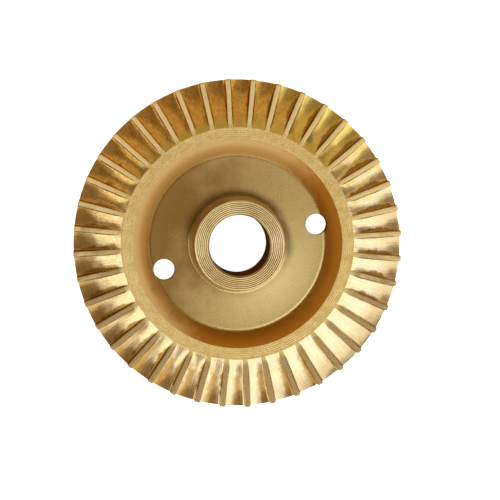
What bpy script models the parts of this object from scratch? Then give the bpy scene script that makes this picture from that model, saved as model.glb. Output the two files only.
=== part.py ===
"""Brass impeller of a peripheral water pump: one piece, with forty straight vanes round its rim.

It lies on its back, with its shaft bore along +Z and the hub's long end up. +X is the right of the
photograph and +Y its top. The origin is on the bore's axis, at the back face. The vane ring is the
same on both faces; the plate inside it is dished on both, deeper in front.
"""

from math import cos, pi, radians, sin, tan

import bmesh
import bpy
from mathutils import Matrix

MM = 0.001

# Driving dimensions, in millimetres.
OUTER_DIAMETER = 73.0
BORE_DIAMETER = 13.3
HUB_HEIGHT = 15.8
RING_HEIGHT = 7.8
PLATE_BACK_HEIGHT = 1.9
FLOOR_HEIGHT_AT_HUB = 4.6
FLOOR_HEIGHT_AT_WALL = 4.2
VANE_COUNT = 40
VANE_THICKNESS = 1.0
FIRST_VANE_DEG = 3.7

# Hub: a short cone with a flat turned face, and a small chamfer into the bore.
HUB_FACE_RADIUS = 9.7
HUB_BASE_RADIUS = 10.8
HUB_BACK_RADIUS = 10.6
HUB_EDGE_CHAMFER = 0.2
BORE_CHAMFER = 0.3

# Dishes between the hub and the land rings. The front one has a rounded shoulder and a low, steep step.
FRONT_FLOOR_RADIUS = 19.75
BACK_FLOOR_RADIUS = 21.4
LAND_INNER_RADIUS = 23.2
SHOULDER_RADIUS = 4.3
SHOULDER_FROM_DEG = 12.0
SHOULDER_TO_DEG = 70.0
SHOULDER_STEPS = 4
BACK_FILLET_STEPS = 2

# Vane pockets, open at the rim.
LAND_OUTER_RADIUS = 25.9
POCKET_DEPTH = 3.4
POCKET_ROUNDNESS = 6.0

# Balance holes through the plate: radius to the hole, and its angle.
BALANCE_HOLE_DIAMETER = 4.7
BALANCE_HOLES = ((18.15, 13.4), (17.4, 199.9))

TURN_STEPS = 80
HOLE_SEGMENTS = 24


def clear_scene():
    for obj in list(bpy.data.objects):
        bpy.data.objects.remove(obj, do_unlink=True)


def brass_material():
    material = bpy.data.materials.new("brass")
    material.use_nodes = True
    principled = material.node_tree.nodes["Principled BSDF"]
    principled.inputs["Base Color"].default_value = (0.60, 0.41, 0.17, 1.0)
    principled.inputs["Metallic"].default_value = 1.0
    principled.inputs["Roughness"].default_value = 0.38
    return material


def mesh_object(name, bm):
    """An object at the origin from a mesh that was drawn in millimetres."""
    bmesh.ops.scale(bm, vec=(MM, MM, MM), verts=bm.verts)
    bmesh.ops.recalc_face_normals(bm, faces=bm.faces)
    mesh = bpy.data.meshes.new(name)
    bm.to_mesh(mesh)
    bm.free()
    obj = bpy.data.objects.new(name, mesh)
    bpy.context.scene.collection.objects.link(obj)
    return obj


def quarter_ellipse(start, end, steps):
    """Points from start, where the curve stands upright, to end, where it lies flat."""
    points = []
    for i in range(steps + 1):
        angle = 0.5 * pi * i / steps
        radius = end[0] + (start[0] - end[0]) * cos(angle)
        height = start[1] + (end[1] - start[1]) * sin(angle)
        points.append((radius, height))
    return points


def front_shoulder():
    """Points from the land's inner edge down a round shoulder that gets steeper, to the dish floor."""
    points = []
    for i in range(SHOULDER_STEPS + 1):
        slope = radians(SHOULDER_FROM_DEG + (SHOULDER_TO_DEG - SHOULDER_FROM_DEG) * i / SHOULDER_STEPS)
        inwards = SHOULDER_RADIUS * (sin(slope) - sin(radians(SHOULDER_FROM_DEG)))
        down = SHOULDER_RADIUS * (cos(radians(SHOULDER_FROM_DEG)) - cos(slope))
        points.append((LAND_INNER_RADIUS - inwards, RING_HEIGHT - down))
    return points + [(FRONT_FLOOR_RADIUS, FLOOR_HEIGHT_AT_WALL)]


def blank_profile():
    """(radius, height) points of the turned blank: in over the front, down the bore, out at the back."""
    rim = 0.5 * OUTER_DIAMETER
    bore = 0.5 * BORE_DIAMETER
    hub = [
        (HUB_BASE_RADIUS, FLOOR_HEIGHT_AT_HUB),
        (HUB_FACE_RADIUS + HUB_EDGE_CHAMFER, HUB_HEIGHT - HUB_EDGE_CHAMFER),
        (HUB_FACE_RADIUS, HUB_HEIGHT),
        (bore + BORE_CHAMFER, HUB_HEIGHT),
        (bore, HUB_HEIGHT - BORE_CHAMFER),
        (bore, 0.0),
        (HUB_BACK_RADIUS, 0.0),
        (HUB_BACK_RADIUS, PLATE_BACK_HEIGHT),
    ]
    back_dish = quarter_ellipse(
        (LAND_INNER_RADIUS, 0.0), (BACK_FLOOR_RADIUS, PLATE_BACK_HEIGHT), BACK_FILLET_STEPS
    )
    return front_shoulder() + hub + back_dish[::-1] + [(rim, 0.0), (rim, RING_HEIGHT)]


def turned_blank():
    """The blank before the pockets and holes are cut: its profile turned once round Z."""
    bm = bmesh.new()
    points = [bm.verts.new((radius, 0.0, height)) for radius, height in blank_profile()]
    edges = [bm.edges.new((a, b)) for a, b in zip(points, points[1:] + points[:1])]
    bmesh.ops.spin(
        bm,
        geom=points + edges,
        axis=(0.0, 0.0, 1.0),
        cent=(0.0, 0.0, 0.0),
        steps=TURN_STEPS,
        angle=2.0 * pi,
        use_merge=True,
    )
    return mesh_object("impeller", bm)


def pocket_floor(radius):
    """Depth of a pocket's middle below the land: an arc that is steepest at the land and flat at the rim."""
    rim = 0.5 * OUTER_DIAMETER
    share = (rim - radius) / (rim - LAND_OUTER_RADIUS)
    return POCKET_DEPTH * (1.0 - share * share)


def pocket_half_width(radius):
    """Half the space between two vanes of even thickness, across the pocket's middle line."""
    half_pitch = pi / VANE_COUNT
    return radius * tan(half_pitch) - 0.5 * VANE_THICKNESS / cos(half_pitch)


def pocket_section(bm, radius, depth):
    """One cross-section of a pocket cutter: a rounded trough that is closed above the land."""
    above = 0.8
    half_width = pocket_half_width(radius)
    section = []
    for across in (-1.0, -0.97, -0.8, 0.8, 0.97, 1.0):
        rise = 1.0 - (1.0 - abs(across) ** POCKET_ROUNDNESS) ** (1.0 / POCKET_ROUNDNESS)
        height = RING_HEIGHT - depth + (above + depth) * rise
        section.append(bm.verts.new((radius, across * half_width, height)))
    return section


def pocket_cutter(bm):
    """One pocket's cutter along +X, from inside the land ring's edge to beyond the rim."""
    reach = 0.5 * OUTER_DIAMETER - LAND_OUTER_RADIUS
    radii = [LAND_OUTER_RADIUS + reach * share for share in (-0.05, 0.12, 0.34, 0.62, 1.05)]
    sections = [pocket_section(bm, radius, pocket_floor(radius)) for radius in radii]
    for inner, outer in zip(sections, sections[1:]):
        for i in range(len(inner)):
            j = (i + 1) % len(inner)
            bm.faces.new((inner[i], inner[j], outer[j], outer[i]))
    bm.faces.new(sections[0])
    bm.faces.new(sections[-1])
    return [vert for section in sections for vert in section]


def pocket_cutters():
    """All pockets of the front, and the same pockets mirrored on to the back."""
    bm = bmesh.new()
    pitch = 2.0 * pi / VANE_COUNT
    first = radians(FIRST_VANE_DEG) + 0.5 * pitch
    middle = Matrix.Translation((0.0, 0.0, 0.5 * RING_HEIGHT))
    to_back = middle @ Matrix.Scale(-1.0, 4, (0.0, 0.0, 1.0)) @ middle.inverted()
    for side in (Matrix.Identity(4), to_back):
        for i in range(VANE_COUNT):
            turn = Matrix.Rotation(first + i * pitch, 4, "Z")
            bmesh.ops.transform(bm, matrix=turn @ side, verts=pocket_cutter(bm))
    return mesh_object("pocket_cutters", bm)


def balance_hole_cutters():
    bm = bmesh.new()
    for radius, angle in BALANCE_HOLES:
        turn = Matrix.Rotation(radians(angle), 4, "Z")
        place = turn @ Matrix.Translation((radius, 0.0, 0.5 * RING_HEIGHT))
        bmesh.ops.create_cone(
            bm,
            cap_ends=True,
            segments=HOLE_SEGMENTS,
            radius1=0.5 * BALANCE_HOLE_DIAMETER,
            radius2=0.5 * BALANCE_HOLE_DIAMETER,
            depth=2.0 * RING_HEIGHT,
            matrix=place,
        )
    return mesh_object("balance_hole_cutters", bm)


def cut(target, cutter):
    cutter.hide_render = True
    cutter.display_type = "WIRE"
    boolean = target.modifiers.new(cutter.name, "BOOLEAN")
    boolean.operation = "DIFFERENCE"
    boolean.solver = "EXACT"
    boolean.object = cutter


def main():
    clear_scene()
    impeller = turned_blank()
    impeller.data.materials.append(brass_material())
    cut(impeller, pocket_cutters())
    cut(impeller, balance_hole_cutters())
    impeller.data.shade_smooth()
    impeller.data.set_sharp_from_angle(angle=radians(25.0))


main()
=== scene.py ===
"""Brass impeller of a peripheral water pump, lying on a pale studio table.

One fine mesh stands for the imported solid: a turned middle with the hub, the dishes and the land rings,
and a rim of forty straight vanes with hollow pockets between them, the same on both faces.
"""

from math import asin, cos, hypot, pi, radians, sin

import bmesh
import bpy
from mathutils import Matrix, Vector, noise


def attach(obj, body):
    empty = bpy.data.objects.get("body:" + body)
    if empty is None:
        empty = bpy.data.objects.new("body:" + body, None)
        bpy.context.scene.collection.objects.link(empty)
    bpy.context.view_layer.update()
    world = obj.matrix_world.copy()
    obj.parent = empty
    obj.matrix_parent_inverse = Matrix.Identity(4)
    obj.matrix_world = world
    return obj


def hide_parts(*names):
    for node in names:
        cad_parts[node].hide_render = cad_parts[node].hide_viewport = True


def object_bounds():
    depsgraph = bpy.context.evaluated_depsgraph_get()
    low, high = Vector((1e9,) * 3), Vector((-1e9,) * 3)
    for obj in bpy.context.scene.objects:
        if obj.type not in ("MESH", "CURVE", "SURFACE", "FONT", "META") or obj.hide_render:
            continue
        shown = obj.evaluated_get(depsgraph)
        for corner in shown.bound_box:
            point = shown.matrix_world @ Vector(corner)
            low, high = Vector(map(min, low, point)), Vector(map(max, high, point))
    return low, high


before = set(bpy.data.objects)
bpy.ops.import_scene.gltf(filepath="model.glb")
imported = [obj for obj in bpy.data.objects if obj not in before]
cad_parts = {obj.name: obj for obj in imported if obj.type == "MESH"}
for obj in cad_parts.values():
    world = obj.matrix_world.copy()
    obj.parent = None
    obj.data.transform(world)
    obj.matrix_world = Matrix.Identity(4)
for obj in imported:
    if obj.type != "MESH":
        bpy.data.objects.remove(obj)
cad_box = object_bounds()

MM = 0.001

# Sizes in millimetres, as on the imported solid.
RIM_RADIUS = 36.5
BORE_RADIUS = 6.65
BORE_CHAMFER = 0.3
HUB_HEIGHT = 15.8
RING_HEIGHT = 7.8
VANE_COUNT = 40
FIRST_VANE_DEG = 3.7
LAND_INNER_RADIUS = 23.2
LAND_OUTER_RADIUS = 25.9
SHOULDER_RADIUS = 4.3
SHOULDER_FROM_DEG = 12.0
SHOULDER_TO_DEG = 70.0
FLOOR_EDGE_RADIUS = 19.75
FLOOR_HEIGHT_AT_WALL = 4.2
FLOOR_HEIGHT_AT_HUB = 4.6
HUB_FACE_RADIUS = 9.85
HUB_BASE_RADIUS = 10.8
HUB_BACK_RADIUS = 10.6
BACK_FLOOR_RADIUS = 21.4
BACK_FLOOR_HEIGHT = 1.9
POCKET_DEPTH = 3.4
BALANCE_HOLE_RADIUS = 2.35

# Balance holes: (distance from the axis, direction in degrees counterclockwise from +X).
BALANCE_HOLES = ((18.15, 13.4), (17.4, 199.9))

# Vanes and pockets of the visible surface, in millimetres.
HALF_VANE_AT_LAND = 0.48
HALF_VANE_AT_RIM = 0.54
EDGE_DROP = 0.11
TIP_DROP = 0.2
TIP_LENGTH = 0.35
FLANK_DRAFT = 0.07
FLOOR_CROWN = 0.24
FLOOR_FILLET = 0.42

# Ridges of the hub face. Their shape is given as (share of the pitch outwards from the crest, share
# of the depth below it).
RIDGE_COUNT = 7
RIDGE_DEPTH = 0.13
RIDGE_SHAPE = ((0.5, 1.0), (0.22, 0.2), (0.0, 0.0), (-0.28, 0.3))

# Rings that the lathe tool left on the front land, in millimetres.
LAND_RINGS_RADIUS = 25.55
LAND_RING_COUNT = 5
LAND_RING_DEPTH = 0.035
LAND_RING_HALF_WIDTH = 0.07
LAND_EDGE_DROP = 0.03

# Groove at the foot of the dish wall: (outwards from the floor's edge, upwards from the floor).
FOOT_GROOVE = ((0.1, 0.1), (0.02, -0.03), (-0.06, -0.06), (-0.16, -0.03), (-0.28, 0.0))
FLAT_FLOOR_RADIUS = 19.0

# Unevenness of the rim, in millimetres. The seed picks its pattern, which is then the same each time.
UNEVENNESS_SEED = 11
DRIFTS_PER_MM = 0.45
RIPPLES_PER_MM = 1.1
SIDEWAYS_DRIFT = 0.05
FLOOR_DRIFT = 0.07
FLOOR_RIPPLE = 0.02

# Directions towards which the painted shade in the pockets lies, counterclockwise from +X.
SIDE_SHADE_HEADING_DEG = 30.0
LEFT_SHADE_HEADING_DEG = 205.0
RIGHT_SHADE_HEADING_DEG = 330.0
BOTTOM_SHADE_HEADING_DEG = 266.0

# Mesh steps. The vane's top has three, as half_section draws it. A tenth of the rows lies close
# together at each end of the pockets, and those at the inner end reach over both sides of the land's
# edge.
TOP_STEPS = 3
FLANK_STEPS = 2
FILLET_STEPS = 3
FLOOR_STEPS = 4
POCKET_ROWS = 26
CLOSE_ROWS = 0.1
ROW_OVERLAP = 0.15
MIDDLE_STEPS = 360
SHOULDER_STEPS = 12
DISH_FLOOR_STEPS = 11
BACK_WALL_STEPS = 6
HOLE_STEPS = 64
MERGE_DISTANCE = 0.002

# Camera, read from the photograph: distances in metres, the axis's place in pixels.
CAMERA_LEAN_DEG = 4.04
CAMERA_HEADING_DEG = 134.3
CAMERA_DISTANCE = 0.43
FOCUS_HEIGHT = 0.0044
PIXELS_PER_METRE = 4473
PICTURE_PIXELS = 500
AXIS_PIXEL = (237.3, 243.1)
SENSOR_MM = 36.0

# Studio, in metres.
TABLE_REACH = 1.5
TABLE_GAP = 0.0002
LIGHT_DISTANCE = 0.8
PALE = (0.93, 0.93, 0.93, 1)
DIM_ROOM = (0.24, 0.139, 0.0624, 1)

# Places of the finishes in the impeller's list of materials.
TURNED, FORGED, FLOOR, WALL, RIDGED, HUB_SIDE, BORE = range(7)


# The turned middle: the hub, the dishes and the land rings.


def softened(corners):
    """A profile from (radius, height) corners. A third number rounds its corner with a short curve."""
    points = []
    for i, (radius, height, *rounding) in enumerate(corners):
        here = Vector((radius, height))
        if not rounding:
            points.append(here)
            continue
        size = rounding[0]
        before = Vector(corners[i - 1][:2]) - here
        after = Vector(corners[i + 1][:2]) - here
        start = here + before.normalized() * min(size, 0.49 * before.length)
        end = here + after.normalized() * min(size, 0.49 * after.length)
        steps = 3 if size < 0.5 else 6
        for k in range(steps + 1):
            t = k / steps
            points.append(start * (1 - t) ** 2 + here * 2 * t * (1 - t) + end * t**2)
    return points


def quarter_ellipse(start, end, steps):
    """Points from start, where the curve stands upright, to end, where it lies flat."""
    points = []
    for i in range(steps + 1):
        angle = 0.5 * pi * i / steps
        radius = end[0] + (start[0] - end[0]) * cos(angle)
        height = start[1] + (end[1] - start[1]) * sin(angle)
        points.append((radius, height))
    return points


def land_rings():
    """The faced land: flat, with the fine grooves of the lathe tool, from its outer edge inwards."""
    pitch = (LAND_RINGS_RADIUS - LAND_INNER_RADIUS - 0.15) / LAND_RING_COUNT
    corners = [(LAND_RINGS_RADIUS, RING_HEIGHT)]
    for k in range(LAND_RING_COUNT):
        groove = LAND_RINGS_RADIUS - pitch * (k + 0.6)
        corners += [
            (groove + LAND_RING_HALF_WIDTH, RING_HEIGHT),
            (groove, RING_HEIGHT - LAND_RING_DEPTH),
            (groove - LAND_RING_HALF_WIDTH, RING_HEIGHT),
        ]
    corners += [
        (LAND_INNER_RADIUS + 0.1, RING_HEIGHT),
        (LAND_INNER_RADIUS + 0.03, RING_HEIGHT - LAND_EDGE_DROP),
    ]
    return corners


def front_shoulder():
    """The forged shoulder from the land down to the dish floor: round, and steeper as it goes down."""
    first = radians(SHOULDER_FROM_DEG)
    corners = []
    for k in range(SHOULDER_STEPS + 1):
        slope = first + radians(SHOULDER_TO_DEG - SHOULDER_FROM_DEG) * k / SHOULDER_STEPS
        inwards = SHOULDER_RADIUS * (sin(slope) - sin(first))
        down = SHOULDER_RADIUS * (cos(first) - cos(slope))
        corners.append((LAND_INNER_RADIUS - 0.05 - inwards, RING_HEIGHT - LAND_EDGE_DROP - down))
    return corners


def foot_groove():
    """The small groove between the dish wall and the floor."""
    return [(FLOOR_EDGE_RADIUS + out, FLOOR_HEIGHT_AT_WALL + up) for out, up in FOOT_GROOVE]


def dish_floor():
    """The dish floor from near the wall to the hub's foot: it rises, and faster as it comes closer."""
    first = FLAT_FLOOR_RADIUS
    last = HUB_BASE_RADIUS + 0.6
    corners = []
    for k in range(DISH_FLOOR_STEPS + 1):
        radius = first + (last - first) * k / DISH_FLOOR_STEPS
        share = (first - radius) / (first - HUB_BASE_RADIUS)
        rise = (FLOOR_HEIGHT_AT_HUB - FLOOR_HEIGHT_AT_WALL) * share**1.5
        corners.append((radius, FLOOR_HEIGHT_AT_WALL + rise))
    return corners


def hub_side():
    """The hub's slightly conical side, from its foot to its face."""
    return [
        (HUB_BASE_RADIUS, FLOOR_HEIGHT_AT_HUB, 0.25),
        (HUB_FACE_RADIUS, HUB_HEIGHT - 0.02, 0.1),
    ]


def ridged_face():
    """The turned hub face: low round ridges from its outer edge to the bore."""
    outer = HUB_FACE_RADIUS - 0.1
    inner = BORE_RADIUS + BORE_CHAMFER
    pitch = (outer - inner) / RIDGE_COUNT
    corners = []
    for k in range(RIDGE_COUNT):
        crest = outer - pitch * (k + 0.5)
        corners += [(crest + out * pitch, HUB_HEIGHT - down * RIDGE_DEPTH) for out, down in RIDGE_SHAPE]
    return corners + [(inner, HUB_HEIGHT - RIDGE_DEPTH)]


def bore_wall():
    """The shaft bore from its front chamfer to its back one."""
    return [
        (BORE_RADIUS + 0.03, HUB_HEIGHT - BORE_CHAMFER),
        (BORE_RADIUS, HUB_HEIGHT - 0.4),
        (BORE_RADIUS, HUB_HEIGHT - 1.2),
        (BORE_RADIUS, 8.0),
        (BORE_RADIUS, BORE_CHAMFER),
        (BORE_RADIUS + BORE_CHAMFER, 0.0),
    ]


def back_face():
    """The back from the hub's end over the shallow dish to the land, which lies level with the hub."""
    wall_foot = (BACK_FLOOR_RADIUS, BACK_FLOOR_HEIGHT)
    wall = quarter_ellipse((LAND_INNER_RADIUS, 0.1), wall_foot, BACK_WALL_STEPS)
    return [
        (HUB_BACK_RADIUS, 0.0, 0.15),
        (HUB_BACK_RADIUS + 0.15, BACK_FLOOR_HEIGHT, 0.5),
        (14.0, BACK_FLOOR_HEIGHT),
        (18.0, BACK_FLOOR_HEIGHT),
        *wall[::-1],
        (LAND_INNER_RADIUS + 0.1, 0.0),
        (LAND_RINGS_RADIUS, 0.0),
    ]


def middle_profile():
    """The turned middle's profile: in over the front, down the bore and out over the back."""
    front = land_rings() + front_shoulder() + foot_groove() + dish_floor()
    hub = hub_side() + ridged_face() + bore_wall()
    return softened(front + hub + back_face())


def turn_middle(bm):
    points = [bm.verts.new((point.x, 0.0, point.y)) for point in middle_profile()]
    edges = [bm.edges.new(pair) for pair in zip(points, points[1:])]
    bmesh.ops.spin(
        bm,
        geom=points + edges,
        axis=(0, 0, 1),
        cent=(0, 0, 0),
        steps=MIDDLE_STEPS,
        angle=2 * pi,
        use_merge=True,
    )


# The rim of vanes and pockets.


def pocket_floor(radius):
    """Depth of a pocket's middle below the land: an arc, steepest at the land and flat at the rim."""
    share = (RIM_RADIUS - radius) / (RIM_RADIUS - LAND_OUTER_RADIUS)
    return max(0.0, POCKET_DEPTH * (1 - share * share))


def row_radius(share):
    """Radius of a row of the vane grid: close rows at the land and at the rim, wider ones between."""
    if share < CLOSE_ROWS:
        return LAND_OUTER_RADIUS - ROW_OVERLAP + 2 * ROW_OVERLAP * share / CLOSE_ROWS
    if share > 1 - CLOSE_ROWS:
        return RIM_RADIUS - TIP_LENGTH * (1 - share) / CLOSE_ROWS
    first = LAND_OUTER_RADIUS + ROW_OVERLAP
    last = RIM_RADIUS - TIP_LENGTH
    return first + (last - first) * (share - CLOSE_ROWS) / (1 - 2 * CLOSE_ROWS)


def tip_drop(radius):
    """How far a vane's outer end is rounded over by wear."""
    past = max(0.0, radius - (RIM_RADIUS - TIP_LENGTH)) / TIP_LENGTH
    return TIP_DROP * past**2.5


def half_section(radius):
    """Half a pitch of the rim at one radius: (distance from the vane's middle, height) points.

    They run over the flat vane top, down its flank, round a fillet and along the hollow pocket floor.
    """
    pitch = 2 * pi / VANE_COUNT
    along = (radius - LAND_OUTER_RADIUS) / (RIM_RADIUS - LAND_OUTER_RADIUS)
    flank = HALF_VANE_AT_LAND + (HALF_VANE_AT_RIM - HALF_VANE_AT_LAND) * along
    middle = radius * sin(0.5 * pitch)
    depth = pocket_floor(radius)
    edge = min(EDGE_DROP, 0.3 * depth)
    crown = min(FLOOR_CROWN, 0.3 * depth)
    fillet = min(FLOOR_FILLET, 0.45 * depth)
    top = RING_HEIGHT - tip_drop(radius)
    low = RING_HEIGHT - depth + crown
    points = [(0.0, top), (0.55 * flank, top), (0.8 * flank, top - 0.12 * edge), (flank, top - edge)]
    root = flank + FLANK_DRAFT * depth / POCKET_DEPTH
    for k in range(1, FLANK_STEPS):
        share = k / FLANK_STEPS
        points.append((flank + (root - flank) * share, top - edge - (top - edge - low - fillet) * share))
    for k in range(FILLET_STEPS + 1):
        bend = 0.5 * pi * k / FILLET_STEPS
        points.append((root + fillet * (1 - cos(bend)), low + fillet * (1 - sin(bend))))
    start = root + fillet
    for k in range(1, FLOOR_STEPS + 1):
        share = k / FLOOR_STEPS
        points.append((start + (middle - start) * share, low - crown * (1 - (1 - share) ** 2)))
    return points


def shape_vane_grid(bm):
    """One pitch of the rim's front: a grid from the middle of one vane to the middle of the next."""
    half = TOP_STEPS + FLANK_STEPS + FILLET_STEPS + FLOOR_STEPS
    grid = bmesh.ops.create_grid(bm, x_segments=2 * half, y_segments=POCKET_ROWS, size=0.5)
    for face in bm.faces:
        column = (face.calc_center_median().x + 0.5) * 2 * half
        on_vane_top = min(column, 2 * half - column) < TOP_STEPS
        face.material_index = TURNED if on_vane_top else FORGED
    for vert in grid["verts"]:
        column = round((vert.co.x + 0.5) * 2 * half)
        radius = row_radius(vert.co.y + 0.5)
        across, height = half_section(radius)[min(column, 2 * half - column)]
        angle = asin(min(1.0, across / radius))
        if column > half:
            angle = 2 * pi / VANE_COUNT - angle
        angle += radians(FIRST_VANE_DEG)
        vert.co = (radius * cos(angle), radius * sin(angle), height)


def vary_vanes(bm):
    """Hand-fettled unevenness: the whole rim wanders a little, most of all the pocket floors."""
    noise.seed_set(UNEVENNESS_SEED)
    for vert in bm.verts:
        radius = hypot(vert.co.x, vert.co.y)
        depth = RING_HEIGHT - vert.co.z
        if radius < LAND_OUTER_RADIUS + 0.02 or radius > RIM_RADIUS - 0.01:
            continue
        drift = noise.noise_vector(vert.co * DRIFTS_PER_MM)
        ripple = noise.noise(vert.co * RIPPLES_PER_MM)
        tangent = Vector((-vert.co.y, vert.co.x, 0)).normalized()
        vert.co += tangent * SIDEWAYS_DRIFT * drift.x
        if depth > 0.3:
            vert.co.z += FLOOR_DRIFT * drift.z + FLOOR_RIPPLE * ripple


def open_loop(bm, least, most):
    """Open edges whose middle lies between these two radii."""
    found = []
    for edge in bm.edges:
        middle = 0.5 * (edge.verts[0].co + edge.verts[1].co)
        if edge.is_boundary and least < hypot(middle.x, middle.y) < most:
            found.append(edge)
    return found


def add_land(bm):
    """The narrow flat strip between the inner ends of the pockets and the edge of the turned middle."""
    bmesh.ops.create_circle(
        bm,
        segments=MIDDLE_STEPS,
        radius=LAND_RINGS_RADIUS,
        matrix=Matrix.Translation((0, 0, RING_HEIGHT)),
    )
    land = [edge for edge in bm.edges if not edge.link_faces]
    land += open_loop(bm, LAND_RINGS_RADIUS, LAND_OUTER_RADIUS)
    bmesh.ops.bridge_loops(bm, edges=land)


def build_vane_rim(bm):
    """The rim with its vanes and pockets, alike on both faces and joined round the outside."""
    shape_vane_grid(bm)
    bmesh.ops.spin(
        bm,
        geom=bm.verts[:] + bm.faces[:],
        axis=(0, 0, 1),
        cent=(0, 0, 0),
        steps=VANE_COUNT - 1,
        angle=2 * pi * (VANE_COUNT - 1) / VANE_COUNT,
        use_duplicate=True,
    )
    bmesh.ops.remove_doubles(bm, verts=bm.verts, dist=MERGE_DISTANCE)
    vary_vanes(bm)
    add_land(bm)
    bmesh.ops.mirror(
        bm,
        geom=bm.verts[:] + bm.edges[:] + bm.faces[:],
        matrix=Matrix.Translation((0, 0, -0.5 * RING_HEIGHT)),
        merge_dist=-1.0,
        axis="Z",
    )
    bmesh.ops.bridge_loops(bm, edges=open_loop(bm, RIM_RADIUS - 0.2, RIM_RADIUS + 0.2))


# The whole impeller.


def zone_of(face):
    """Which finish a face has, from where it lies."""
    centre = face.calc_center_median()
    radius = hypot(centre.x, centre.y)
    height = centre.z
    in_bore = radius < BORE_RADIUS + 0.02
    if height > HUB_HEIGHT - 0.25 and not in_bore:
        # Groove bottoms take the darker hub-side brass: painted shade in the grooves.
        groove = height < HUB_HEIGHT - 0.55 * RIDGE_DEPTH and radius < HUB_FACE_RADIUS - 0.2
        return HUB_SIDE if groove else RIDGED
    if in_bore:
        return BORE
    if height < 0.1 and radius < HUB_BACK_RADIUS:
        return TURNED
    if radius < HUB_BASE_RADIUS + 0.05:
        return HUB_SIDE
    if radius < FLOOR_EDGE_RADIUS + 0.05:
        return FLOOR
    if radius < LAND_INNER_RADIUS + 0.02:
        return WALL
    if radius < LAND_OUTER_RADIUS:
        return TURNED
    if abs(height - 0.5 * RING_HEIGHT) < 0.1:
        return FORGED
    return face.material_index


def new_object(name, bm):
    """An object at the origin from a drawn mesh."""
    mesh = bpy.data.meshes.new(name)
    bm.to_mesh(mesh)
    bm.free()
    made = bpy.data.objects.new(name, mesh)
    bpy.context.scene.collection.objects.link(made)
    return made


def build_impeller():
    bm = bmesh.new()
    build_vane_rim(bm)
    turn_middle(bm)
    bmesh.ops.remove_doubles(bm, verts=bm.verts, dist=MERGE_DISTANCE)
    bmesh.ops.recalc_face_normals(bm, faces=bm.faces)
    for face in bm.faces:
        face.material_index = zone_of(face)
        face.smooth = True
    bmesh.ops.scale(bm, vec=(MM, MM, MM), verts=bm.verts)
    return new_object("impeller_brass", bm)


def drill_profile():
    """(height, radius) points of a drill with flared ends, from below the back floor upwards."""
    bare = BALANCE_HOLE_RADIUS
    back_end = bare + 0.3
    front_end = bare + 0.14
    return (
        (BACK_FLOOR_HEIGHT - 0.8, back_end),
        (BACK_FLOOR_HEIGHT - 0.3, back_end),
        (BACK_FLOOR_HEIGHT + 0.12, bare),
        (FLOOR_HEIGHT_AT_WALL - 0.02, bare),
        (FLOOR_HEIGHT_AT_WALL + 0.18, front_end),
        (FLOOR_HEIGHT_AT_WALL + 1.8, front_end),
    )


def add_drill(bm, radius, angle):
    """One drill at this distance and direction from the axis. Its vertices are tagged once it stands."""
    profile = drill_profile()
    column = [bm.verts.new((size, 0, height)) for height, size in profile]
    column = [bm.verts.new((0, 0, profile[0][0]))] + column + [bm.verts.new((0, 0, profile[-1][0]))]
    edges = [bm.edges.new(pair) for pair in zip(column, column[1:])]
    bmesh.ops.spin(
        bm,
        geom=column + edges,
        axis=(0, 0, 1),
        cent=(0, 0, 0),
        steps=HOLE_STEPS,
        angle=2 * pi,
        use_merge=True,
    )
    place = Matrix.Rotation(radians(angle), 4, "Z") @ Matrix.Translation((radius, 0, 0))
    fresh = [vert for vert in bm.verts if not vert.tag]
    bmesh.ops.transform(bm, matrix=place, verts=fresh)
    for vert in bm.verts:
        vert.tag = True


def build_hole_drill():
    """The two drills. Where one cuts into the dish wall, the cut has the hub's lighter finish."""
    bm = bmesh.new()
    for radius, angle in BALANCE_HOLES:
        add_drill(bm, radius, angle)
    bmesh.ops.remove_doubles(bm, verts=bm.verts, dist=MERGE_DISTANCE)
    bmesh.ops.recalc_face_normals(bm, faces=bm.faces)
    for face in bm.faces:
        in_wall = face.calc_center_median().z > FLOOR_HEIGHT_AT_WALL + 0.3
        face.material_index = HUB_SIDE if in_wall else BORE
        face.smooth = True
    bmesh.ops.scale(bm, vec=(MM, MM, MM), verts=bm.verts)
    return new_object("hole_drill", bm)


def drill_balance_holes(impeller, materials):
    drill = build_hole_drill()
    for material in materials:
        drill.data.materials.append(material)
    boolean = impeller.modifiers.new("holes", "BOOLEAN")
    boolean.operation = "DIFFERENCE"
    boolean.solver = "EXACT"
    boolean.object = drill
    graph = bpy.context.evaluated_depsgraph_get()
    cut = bpy.data.meshes.new_from_object(impeller.evaluated_get(graph))
    impeller.modifiers.clear()
    impeller.data = cut
    bpy.data.objects.remove(drill, do_unlink=True)
    impeller.data.set_sharp_from_angle(angle=radians(32))


# Shared effects of the finishes.


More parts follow.
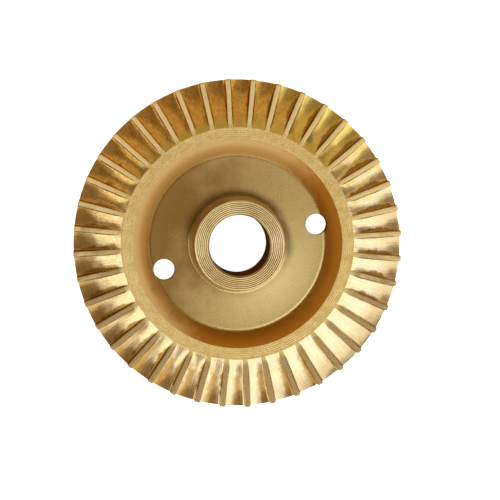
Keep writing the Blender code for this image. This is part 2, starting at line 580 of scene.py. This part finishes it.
class Wiring:
    """Adds nodes to a tree and links them, a value or a socket for each input.

    An input is given by its name, or as i0, i1 and so on by its place in the node's list.
    """

    def __init__(self, tree):
        self.tree = tree

    def link(self, source, target):
        self.tree.links.new(source, target)

    def node(self, kind, settings=None, **inputs):
        made = self.tree.nodes.new(kind)
        for key, value in (settings or {}).items():
            setattr(made, key, value)
        for key, value in inputs.items():
            by_place = key[0] == "i" and key[1:].isdigit()
            socket = made.inputs[int(key[1:]) if by_place else key.replace("_", " ")]
            if isinstance(value, bpy.types.NodeSocket):
                self.link(value, socket)
            else:
                socket.default_value = value
        return made

    def math(self, operation, first, second=0.0, third=0.0):
        made = self.node("ShaderNodeMath", {"operation": operation}, i0=first, i1=second, i2=third)
        return made.outputs[0]

    def product(self, first, *others):
        for other in others:
            first = self.math("MULTIPLY", first, other)
        return first

    def vector(self, operation, **inputs):
        made = self.node("ShaderNodeVectorMath", {"operation": operation}, **inputs)
        is_number = operation in ("LENGTH", "DOT_PRODUCT")
        return made.outputs["Value" if is_number else "Vector"]

    def noise(self, dimensions="3D", **inputs):
        made = self.node("ShaderNodeTexNoise", {"noise_dimensions": dimensions}, **inputs)
        return made.outputs[0]

    def blend(self, share, first, second):
        made = self.node("ShaderNodeMix", {"data_type": "RGBA"}, i0=share, i6=first, i7=second)
        return made.outputs[2]

    def ramp(self, value, low, high, to_low=0.0, to_high=1.0):
        made = self.node(
            "ShaderNodeMapRange",
            {"interpolation_type": "SMOOTHSTEP"},
            i0=value,
            i1=low,
            i2=high,
            i3=to_low,
            i4=to_high,
        )
        return made.outputs[0]

    def place_in_mm(self):
        """Where a point lies on the piece, in millimetres."""
        place = self.node("ShaderNodeTexCoord").outputs["Object"]
        return self.vector("SCALE", i0=place, Scale=1000.0)

    def plan_in_mm(self):
        """Where a point lies seen along the axis, in millimetres, and its distance from the axis."""
        place = self.node("ShaderNodeTexCoord").outputs["Object"]
        flat = self.vector("MULTIPLY", i0=place, i1=(1000, 1000, 0))
        return flat, self.vector("LENGTH", i0=flat)


def new_group(name, inputs, outputs):
    """A node group with float, colour and vector sockets: the group, its wiring, inputs and outputs."""
    kinds = {"value": "NodeSocketFloat", "colour": "NodeSocketColor", "vector": "NodeSocketVector"}
    group = bpy.data.node_groups.new(name, "ShaderNodeTree")
    for label, kind, default in inputs:
        socket = group.interface.new_socket(label, in_out="INPUT", socket_type=kinds[kind])
        if default is not None:
            socket.default_value = default
    for label, kind in outputs:
        group.interface.new_socket(label, in_out="OUTPUT", socket_type=kinds[kind])
    wire = Wiring(group)
    given = wire.node("NodeGroupInput").outputs
    result = wire.node("NodeGroupOutput").inputs
    return group, wire, given, result


def turning_marks_group():
    """Fine rings round the axis, as a lathe tool leaves them."""
    group, wire, given, result = new_group(
        "turning_marks",
        [("Rings per mm", "value", 8.0), ("Wander", "value", 0.1), ("Seed", "value", 0.0)],
        [("Height", "value"), ("Rings", "value")],
    )
    flat, radius = wire.plan_in_mm()
    sway = wire.noise(Vector=flat, Scale=0.25, Detail=1.0)
    swayed = wire.math("MULTIPLY_ADD", sway, given["Wander"], radius)
    steps = wire.math("MULTIPLY_ADD", swayed, given["Rings per mm"], given["Seed"])
    rings = wire.noise("1D", W=steps, Scale=1.0, Detail=2.0)
    wire.link(rings, result["Height"])
    wire.link(wire.ramp(rings, 0.35, 0.65), result["Rings"])
    return group


def radial_streaks_group():
    """Streaks that run out from the axis, as a forging die and a brush leave them."""
    group, wire, given, result = new_group(
        "radial_streaks",
        [("Around", "value", 60.0), ("Along", "value", 0.3), ("Seed", "value", 0.0)],
        [("Height", "value"), ("Streaks", "value")],
    )
    flat, radius = wire.plan_in_mm()
    heading = wire.vector("NORMALIZE", i0=flat)
    spread = wire.vector("SCALE", i0=heading, Scale=given["Around"])
    along = wire.math("MULTIPLY_ADD", radius, given["Along"], given["Seed"])
    lift = wire.node("ShaderNodeCombineXYZ", Z=along).outputs[0]
    spot = wire.vector("ADD", i0=spread, i1=lift)
    streaks = wire.noise(Vector=spot, Scale=1.0, Detail=3.0)
    wire.link(streaks, result["Height"])
    wire.link(wire.ramp(streaks, 0.38, 0.66), result["Streaks"])
    return group


def tarnish_group():
    """Patches where the brass has darkened, heavier towards one side of the piece."""
    group, wire, given, result = new_group(
        "tarnish",
        [
            ("Clean", "colour", None),
            ("Tarnished", "colour", None),
            ("Amount", "value", 0.5),
            ("Patches per mm", "value", 0.3),
            ("Side", "vector", (0.0, 0.0, 0.0)),
            ("Seed", "value", 0.0),
        ],
        [("Color", "colour"), ("Mask", "value")],
    )
    in_mm = wire.place_in_mm()
    lean = wire.vector("DOT_PRODUCT", i0=in_mm, i1=given["Side"])
    patches = wire.noise(
        "4D",
        Vector=in_mm,
        W=given["Seed"],
        Scale=given["Patches per mm"],
        Detail=4.0,
        Roughness=0.6,
    )
    level = wire.math("ADD", patches, lean)
    edge = wire.math("SUBTRACT", 1.0, given["Amount"])
    low = wire.math("SUBTRACT", edge, 0.2)
    high = wire.math("ADD", edge, 0.2)
    mask = wire.ramp(level, low, high)
    wire.link(wire.blend(mask, given["Clean"], given["Tarnished"]), result["Color"])
    wire.link(mask, result["Mask"])
    return group


def ring_falloff_group():
    """A mask full at a radius and fading outwards: painted shade in the corner at the foot of a turned
    step, and the edge of the painted highlight on the dish wall.
    """
    group, wire, given, result = new_group(
        "ring_falloff",
        [("Radius mm", "value", 10.0), ("Width mm", "value", 1.0), ("Seed", "value", 0.0)],
        [("Mask", "value")],
    )
    flat, radius = wire.plan_in_mm()
    wander = wire.noise("4D", Vector=flat, W=given["Seed"], Scale=0.16, Detail=2.0)
    reach = wire.product(given["Width mm"], wire.ramp(wander, 0.3, 0.7, 0.75, 1.25))
    past = wire.math("DIVIDE", wire.math("SUBTRACT", radius, given["Radius mm"]), reach)
    wire.link(wire.ramp(past, 1.0, 0.0), result["Mask"])
    return group


def grain_group():
    """Fine speckle of a cast or blasted skin."""
    group, wire, given, result = new_group(
        "grain",
        [("Grains per mm", "value", 4.0), ("Seed", "value", 0.0)],
        [("Height", "value"), ("Speckle", "value")],
    )
    grain = wire.noise(
        "4D",
        Vector=wire.place_in_mm(),
        W=given["Seed"],
        Scale=given["Grains per mm"],
        Detail=3.0,
        Roughness=0.65,
    )
    wire.link(grain, result["Height"])
    wire.link(wire.ramp(grain, 0.4, 0.65), result["Speckle"])
    return group


def share_towards(wire, flat, radius, heading):
    """How squarely a point lies in this direction from the axis: 1 in the direction, -1 opposite."""
    way = (cos(radians(heading)), sin(radians(heading)), 0)
    return wire.math("DIVIDE", wire.vector("DOT_PRODUCT", i0=flat, i1=way), radius)


def pocket_place_group():
    """Where a point of the rim lies in its pocket, and how much painted shade of each kind it has.

    Its first output is its distance outwards from the pockets' inner ends. The second is painted shade
    along the lower right side of each pocket, heaviest in one heading and the opposite one. The third is
    painted shade at the outer ends of the pockets at the lower left and the lower right. The fourth is
    painted shade in a band in the pockets at the bottom.
    """
    group, wire, _, result = new_group(
        "pocket_place",
        [],
        [("From land mm", "value"), ("Side shade", "value"), ("Outer end shade", "value"), ("Bottom shade", "value")],
    )
    flat, radius = wire.plan_in_mm()
    parts = wire.node("ShaderNodeSeparateXYZ", i0=flat).outputs
    heading = wire.math("ARCTAN2", parts[1], parts[0])
    first_vane = FIRST_VANE_DEG * VANE_COUNT / 360
    turns = wire.math("MULTIPLY_ADD", heading, VANE_COUNT / (2 * pi), VANE_COUNT - first_vane)
    across = wire.math("FRACT", turns)
    from_land = wire.math("SUBTRACT", radius, LAND_OUTER_RADIUS)
    ragged = wire.noise(Vector=flat, Scale=0.7, Detail=2.0)
    wire.link(from_land, result["From land mm"])

    # Painted shade along the lower right side of each pocket, heaviest in one heading and the opposite
    # one.
    sideways = wire.math("MULTIPLY_ADD", across, -2.0, 1.0)
    uphill = wire.product(sideways, share_towards(wire, flat, radius, SIDE_SHADE_HEADING_DEG))
    outwards = wire.math("DIVIDE", from_land, RIM_RADIUS - LAND_OUTER_RADIUS)
    bulge = wire.product(outwards, wire.math("SUBTRACT", 1.0, outwards))
    reach = wire.math("MULTIPLY_ADD", ragged, 0.5, wire.math("MULTIPLY_ADD", bulge, 1.8, uphill))
    wire.link(wire.ramp(reach, 0.96, 1.14), result["Side shade"])

    # Painted shade at the outer ends of the pockets at the lower left and the lower right.
    left = wire.ramp(share_towards(wire, flat, radius, LEFT_SHADE_HEADING_DEG), 0.3, 0.9)
    right = wire.ramp(share_towards(wire, flat, radius, RIGHT_SHADE_HEADING_DEG), 0.5, 0.9, 0.0, 0.6)
    darkened_outwards = wire.ramp(wire.math("MULTIPLY_ADD", ragged, 3.0, from_land), 6.2, 10.6)
    wire.link(wire.product(darkened_outwards, wire.math("MAXIMUM", left, right)), result["Outer end shade"])

    # Painted shade in a band along one side of the pockets at the bottom.
    bottom = wire.ramp(share_towards(wire, flat, radius, BOTTOM_SHADE_HEADING_DEG), 0.6, 0.85)
    shade_middle = wire.math("MULTIPLY_ADD", share_towards(wire, flat, radius, 0.0), 0.55, 0.6)
    off_shade = wire.math("SUBTRACT", wire.math("MULTIPLY_ADD", ragged, 0.3, across), shade_middle)
    shade_width = wire.ramp(wire.math("ABSOLUTE", wire.math("SUBTRACT", off_shade, 0.15)), 0.26, 0.04)
    shade_length = wire.ramp(wire.math("MULTIPLY_ADD", ragged, 4.0, from_land), 3.5, 6.5)
    wire.link(wire.product(shade_width, shade_length, bottom), result["Bottom shade"])
    return group


# The finishes.


class Finish:
    """A brass finish in the making: one material with a Principled shader and the shared groups."""

    def __init__(self, name, groups):
        self.material = bpy.data.materials.new(name)
        self.material.use_nodes = True
        self.wire = Wiring(self.material.node_tree)
        self.shader = self.material.node_tree.nodes["Principled BSDF"]
        self.shader.inputs["Metallic"].default_value = 1.0
        self.groups = groups
        self.tone = None

    def use(self, group, **inputs):
        """The outputs of a shared group with these inputs."""
        return self.wire.node("ShaderNodeGroup", {"node_tree": self.groups[group]}, **inputs).outputs

    def patches(self, amount, per_mm, side, seed):
        """A mask of soft patches, which grow more towards one side."""
        return self.use("tarnish", Amount=amount, Patches_per_mm=per_mm, Side=side, Seed=seed)["Mask"]

    def colour(self, socket):
        self.tone = socket
        self.wire.link(socket, self.shader.inputs["Base Color"])

    def coat(self, tone, *shares):
        """Lays a tone over the colour so far, as much as the product of these shares."""
        self.colour(self.wire.blend(self.wire.product(*shares), self.tone, tone))

    def roughness(self, mask, smooth, rough):
        made = self.wire.node("ShaderNodeMapRange", i0=mask, i3=smooth, i4=rough)
        self.wire.link(made.outputs[0], self.shader.inputs["Roughness"])

    def relief(self, *layers):
        """Bump layers of (height socket, depth in mm), one after the other."""
        normal = None
        for height, depth in layers:
            bump = self.wire.node("ShaderNodeBump", Strength=1.0, Distance=depth * MM, Height=height)
            if normal:
                self.wire.link(normal, bump.inputs["Normal"])
            normal = bump.outputs[0]
        self.wire.link(normal, self.shader.inputs["Normal"])


def turned_brass(groups):
    """Land rings and vane tops: faced on the lathe, dull and tan, and rubbed paler along the vanes."""
    finish = Finish("turned_brass", groups)
    marks = finish.use("turning_marks", Rings_per_mm=4.0, Wander=0.15)
    grain = finish.use("grain", Grains_per_mm=4.5, Seed=1.0)
    tarnish = finish.use(
        "tarnish",
        Clean=(0.97, 0.84, 0.41, 1),
        Tarnished=(0.83, 0.67, 0.28, 1),
        Amount=0.45,
        Patches_per_mm=0.5,
        Seed=2.0,
    )
    spot = finish.use("pocket_place")
    on_vane = finish.wire.ramp(spot["From land mm"], 0.2, 1.5)
    handled = finish.patches(amount=0.45, per_mm=0.3, side=(-0.002, -0.018, 0.0), seed=33.0)
    speckle = (0.44, 0.31, 0.11, 1)
    wear_and_highlight = (1.0, 0.87, 0.52, 1)
    dulled = (0.40, 0.30, 0.15, 1)
    finish.colour(tarnish["Color"])
    finish.coat(speckle, grain["Speckle"], 0.4)
    finish.coat(wear_and_highlight, on_vane, 0.55)
    finish.coat(dulled, handled, on_vane, 0.75)
    finish.roughness(grain["Height"], 0.5, 0.7)
    finish.relief((marks["Height"], 0.03), (grain["Height"], 0.05))
    return finish.material


def forged_brass(groups):
    """Vane flanks, pockets and rim: the forging's own skin, cream where rubbed and brown in patches, with
    painted shade towards the top, along one side of each pocket, at the outer ends and at the bottom.
    """
    finish = Finish("forged_brass", groups)
    streaks = finish.use("radial_streaks", Around=90.0, Along=0.22, Seed=3.0)
    grain = finish.use("grain", Grains_per_mm=3.0, Seed=5.0)
    spot = finish.use("pocket_place")
    worn = finish.use(
        "tarnish",
        Clean=(0.91, 0.84, 0.57, 1),
        Tarnished=(0.85, 0.72, 0.38, 1),
        Amount=0.5,
        Patches_per_mm=0.4,
        Side=(-0.004, 0.003, 0.0),
        Seed=6.0,
    )
    # Brown patches; their lean towards the top is painted shade.
    brown = finish.use(
        "tarnish",
        Clean=worn["Color"],
        Tarnished=(0.84, 0.58, 0.16, 1),
        Amount=0.22,
        Patches_per_mm=0.5,
        Side=(-0.003, 0.018, 0.0),
        Seed=25.0,
    )
    mottled = finish.use(
        "tarnish",
        Clean=brown["Color"],
        Tarnished=(0.60, 0.33, 0.06, 1),
        Amount=0.34,
        Patches_per_mm=1.5,
        Side=(-0.002, 0.005, 0.0),
        Seed=26.0,
    )
    drift = finish.wire.product(mottled["Mask"], 0.8)
    near_land = finish.wire.ramp(finish.wire.math("ADD", spot["From land mm"], drift), 3.4, 0.8)
    verdigris = finish.patches(amount=0.3, per_mm=0.35, side=(0.02, 0.0, 0.0), seed=28.0)
    green_tinge = (0.56, 0.50, 0.14, 1)
    olive = (0.84, 0.76, 0.20, 1)
    # Painted shade at the outer ends of the pockets at the lower left and the lower right.
    outer_end_shade = (0.52, 0.34, 0.10, 1)
    # Painted shade along one side of each pocket.
    painted_side_shade = (0.29, 0.145, 0.016, 1)
    # Painted shade in a band in the pockets at the bottom.
    bottom_shade = (0.44, 0.235, 0.025, 1)
    streak = (0.58, 0.42, 0.15, 1)
    finish.colour(mottled["Color"])
    finish.coat(green_tinge, near_land, brown["Mask"], 0.85)
    finish.coat(olive, verdigris, brown["Mask"], 0.7)
    finish.coat(outer_end_shade, spot["Outer end shade"], 0.75)
    finish.coat(painted_side_shade, spot["Side shade"], 0.9)
    finish.coat(bottom_shade, spot["Bottom shade"], 0.8)
    finish.coat(streak, streaks["Streaks"], 0.2)
    finish.roughness(streaks["Height"], 0.2, 0.36)
    finish.relief((streaks["Height"], 0.03), (grain["Height"], 0.02))
    return finish.material


def floor_brass(groups):
    """Dish floor: fine-turned and rubbed smooth, with tarnish patches, and painted shade towards the left
    and round the hub's foot.
    """
    finish = Finish("floor_brass", groups)
    marks = finish.use("turning_marks", Rings_per_mm=4.0, Wander=0.05, Seed=20.0)
    grain = finish.use("grain", Grains_per_mm=0.5, Seed=8.0)
    # Tarnish patches; their lean towards the left is painted shade.
    tarnish = finish.use(
        "tarnish",
        Clean=(0.90, 0.79, 0.37, 1),
        Tarnished=(0.54, 0.38, 0.13, 1),
        Amount=0.27,
        Patches_per_mm=0.10,
        Side=(-0.026, 0.004, 0.0),
        Seed=12.0,
    )
    # Painted shade round the hub's foot, heavier above the hub.
    foot = finish.use("ring_falloff", Radius_mm=HUB_BASE_RADIUS, Width_mm=2.4, Seed=3.0)
    above = finish.patches(amount=0.48, per_mm=0.2, side=(0.005, 0.03, 0.0), seed=37.0)
    shade_strength = finish.wire.math("MULTIPLY_ADD", above, 0.65, 0.25)
    corner_shade = (0.16, 0.10, 0.025, 1)
    finish.colour(tarnish["Color"])
    finish.coat(corner_shade, foot["Mask"], shade_strength)
    finish.roughness(grain["Height"], 0.22, 0.34)
    finish.relief((marks["Height"], 0.0008))
    return finish.material


def wall_brass(groups):
    """Dish wall: copper-toned, as left by the forging's heat, with painted shade towards the lower right
    and at its foot, and a painted highlight on the shoulder at the upper left.
    """
    finish = Finish("wall_brass", groups)
    finish.shader.inputs["Metallic"].default_value = 0.4
    finish.shader.inputs["Specular IOR Level"].default_value = 0.2
    marks = finish.use("turning_marks", Rings_per_mm=3.0, Wander=0.2, Seed=31.0)
    grain = finish.use("grain", Grains_per_mm=2.0, Seed=15.0)
    # Tarnish patches; their lean towards the lower right is painted shade.
    tarnish = finish.use(
        "tarnish",
        Clean=(0.72, 0.465, 0.15, 1),
        Tarnished=(0.46, 0.19, 0.014, 1),
        Amount=0.47,
        Patches_per_mm=0.15,
        Side=(0.018, -0.018, 0.0),
        Seed=14.0,
    )
    # Painted shade in the corner at the wall's foot, heavier towards the bottom.
    foot = finish.use("ring_falloff", Radius_mm=FLOOR_EDGE_RADIUS, Width_mm=3.0, Seed=7.0)
    bottom = finish.patches(amount=0.52, per_mm=0.15, side=(-0.002, -0.026, 0.0), seed=35.0)
    # A painted highlight: the shoulder is paler at the upper left.
    below = finish.use("ring_falloff", Radius_mm=LAND_INNER_RADIUS - 1.9, Width_mm=1.8, Seed=39.0)
    shoulder = finish.wire.math("SUBTRACT", 1.0, below["Mask"])
    upper_left = finish.patches(amount=0.42, per_mm=0.15, side=(-0.026, 0.014, 0.0), seed=43.0)
    corner_shade = (0.28, 0.13, 0.02, 1)
    wear_and_highlight = (0.76, 0.585, 0.27, 1)
    finish.colour(tarnish["Color"])
    finish.coat(corner_shade, foot["Mask"], bottom, 0.4)
    finish.coat(wear_and_highlight, shoulder, upper_left, 0.65)
    finish.roughness(grain["Height"], 0.45, 0.6)
    finish.relief((marks["Height"], 0.01), (grain["Height"], 0.015))
    return finish.material


def ridged_brass(groups):
    """Hub face: the bright crests of its turned ridges."""
    finish = Finish("ridged_brass", groups)
    marks = finish.use("turning_marks", Rings_per_mm=10.0, Wander=0.02, Seed=41.0)
    grain = finish.use("grain", Grains_per_mm=6.0, Seed=16.0)
    tarnish = finish.use(
        "tarnish",
        Clean=(0.87, 0.79, 0.46, 1),
        Tarnished=(0.66, 0.54, 0.25, 1),
        Amount=0.4,
        Patches_per_mm=0.6,
        Seed=17.0,
    )
    finish.colour(tarnish["Color"])
    finish.roughness(grain["Height"], 0.3, 0.44)
    finish.relief((marks["Height"], 0.008), (grain["Height"], 0.006))
    return finish.material


def hub_side_brass(groups):
    """Hub wall and the grooves of the hub face: turned, and a darker copy of the crests' brass as painted
    shade.
    """
    finish = Finish("hub_side_brass", groups)
    marks = finish.use("turning_marks", Rings_per_mm=5.0, Wander=0.3, Seed=51.0)
    grain = finish.use("grain", Grains_per_mm=3.0, Seed=18.0)
    tarnish = finish.use(
        "tarnish",
        Clean=(0.58, 0.45, 0.23, 1),
        Tarnished=(0.40, 0.28, 0.11, 1),
        Amount=0.5,
        Patches_per_mm=0.3,
        Seed=19.0,
    )
    finish.colour(tarnish["Color"])
    finish.roughness(grain["Height"], 0.4, 0.55)
    finish.relief((marks["Height"], 0.005), (grain["Height"], 0.02))
    return finish.material


def bore_brass(groups):
    """Shaft bore and balance holes: painted shade, a dark brown colour for the dim inside of the holes."""
    finish = Finish("bore_brass", groups)
    # The brown specular tint darkens the reflections too: painted shade.
    finish.shader.inputs["Specular Tint"].default_value = (0.42, 0.26, 0.12, 1)
    grain = finish.use("grain", Grains_per_mm=2.0, Seed=21.0)
    tarnish = finish.use(
        "tarnish",
        Clean=(0.40, 0.27, 0.14, 1),
        Tarnished=(0.22, 0.13, 0.06, 1),
        Amount=0.6,
        Patches_per_mm=0.3,
        Seed=22.0,
    )
    finish.colour(tarnish["Color"])
    finish.roughness(grain["Height"], 0.45, 0.65)
    finish.relief((grain["Height"], 0.03))
    return finish.material


def brass_finishes():
    """All finishes, in the order of their places."""
    groups = {
        "turning_marks": turning_marks_group(),
        "radial_streaks": radial_streaks_group(),
        "tarnish": tarnish_group(),
        "pocket_place": pocket_place_group(),
        "ring_falloff": ring_falloff_group(),
        "grain": grain_group(),
    }
    return [
        turned_brass(groups),
        forged_brass(groups),
        floor_brass(groups),
        wall_brass(groups),
        ridged_brass(groups),
        hub_side_brass(groups),
        bore_brass(groups),
    ]


# The studio.


def lay_table():
    """A pale table that gives its own light, so that it stays white, and that the brass doesn't mirror."""
    bm = bmesh.new()
    bmesh.ops.create_grid(bm, x_segments=1, y_segments=1, size=TABLE_REACH)
    bmesh.ops.translate(bm, vec=(0, 0, cad_box[0][2] - TABLE_GAP), verts=bm.verts)
    table = new_object("table", bm)
    material = bpy.data.materials.new("pale_table")
    material.use_nodes = True
    shader = material.node_tree.nodes["Principled BSDF"]
    shader.inputs["Base Color"].default_value = PALE
    shader.inputs["Roughness"].default_value = 0.9
    shader.inputs["Emission Color"].default_value = (1, 1, 1, 1)
    shader.inputs["Emission Strength"].default_value = 1.0
    table.data.materials.append(material)
    table.visible_glossy = False


def hang_light(name, heading, lean, width, height, glow, tint=(1.0, 1.0, 1.0)):
    """A soft box that faces the impeller: its direction and its lean from overhead are in degrees."""
    light = bpy.data.lights.new(name, "AREA")
    light.shape = "RECTANGLE"
    light.size = width
    light.size_y = height
    light.energy = glow * pi * width * height
    light.color = tint
    lamp = bpy.data.objects.new(name, light)
    turn = radians(heading)
    flat = LIGHT_DISTANCE * sin(radians(lean))
    rise = LIGHT_DISTANCE * cos(radians(lean))
    place = Vector((flat * cos(turn), flat * sin(turn), rise))
    lamp.location = place
    lamp.rotation_euler = place.to_track_quat("Z", "Y").to_euler()
    bpy.context.scene.collection.objects.link(lamp)


def paint_room():
    """A dim warm room that the brass mirrors, and a pale backdrop where it is looked at itself."""
    world = bpy.data.worlds.new("studio")
    world.use_nodes = True
    wire = Wiring(world.node_tree)
    seen = wire.node("ShaderNodeLightPath").outputs["Is Camera Ray"]
    room = wire.blend(seen, DIM_ROOM, PALE)
    wire.link(room, world.node_tree.nodes["Background"].inputs["Color"])
    bpy.context.scene.world = world


def light_studio():
    """Windows at the lower right and lower left, a warm fill at the top and a small lamp overhead."""
    paint_room()
    hang_light("right_window", heading=315, lean=50, width=1.7, height=1.1, glow=1.12)
    hang_light("left_window", heading=205, lean=66, width=1.0, height=0.75, glow=1.25)
    warm = (1.0, 0.76, 0.46)
    hang_light("upper_fill", heading=85, lean=50, width=1.4, height=0.7, glow=0.42, tint=warm)
    hang_light("ceiling", heading=0, lean=0, width=0.4, height=0.4, glow=0.15)


def aim_camera():
    """Nearly straight above, leaning back towards the upper left, as in the photograph.

    It looks a little past the axis, so that the axis falls on its own pixel of the photograph.
    """
    lean = radians(CAMERA_LEAN_DEG)
    heading = radians(CAMERA_HEADING_DEG)
    away = Vector((sin(lean) * cos(heading), sin(lean) * sin(heading), cos(lean)))
    focus = Vector((0, 0, FOCUS_HEIGHT))
    place = focus + away * CAMERA_DISTANCE
    back = away.normalized()
    up = back.cross(Vector((1, 0, 0))).normalized()
    side = up.cross(back).normalized()
    axis = Vector(AXIS_PIXEL)
    middle = PICTURE_PIXELS // 2
    sideways = side * (middle - axis.x) / PIXELS_PER_METRE
    upwards = up * (middle - axis.y) / PIXELS_PER_METRE
    aim = focus + sideways - upwards
    back = (place - aim).normalized()
    side = up.cross(back).normalized()
    up = back.cross(side)
    camera = bpy.data.cameras.new("camera")
    camera.sensor_width = SENSOR_MM
    camera.lens = SENSOR_MM * PIXELS_PER_METRE * CAMERA_DISTANCE / PICTURE_PIXELS
    camera.clip_start = 0.01
    eye = bpy.data.objects.new("camera", camera)
    bpy.context.scene.collection.objects.link(eye)
    eye.matrix_world = Matrix(
        (
            (side.x, up.x, back.x, place.x),
            (side.y, up.y, back.y, place.y),
            (side.z, up.z, back.z, place.z),
            (0, 0, 0, 1),
        )
    )
    bpy.context.scene.camera = eye


def main():
    finishes = brass_finishes()
    impeller = build_impeller()
    for finish in finishes:
        impeller.data.materials.append(finish)
    drill_balance_holes(impeller, finishes)
    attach(impeller, "root")
    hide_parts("impeller")
    lay_table()
    light_studio()
    aim_camera()
    bpy.context.scene.view_settings.view_transform = "Standard"


main()
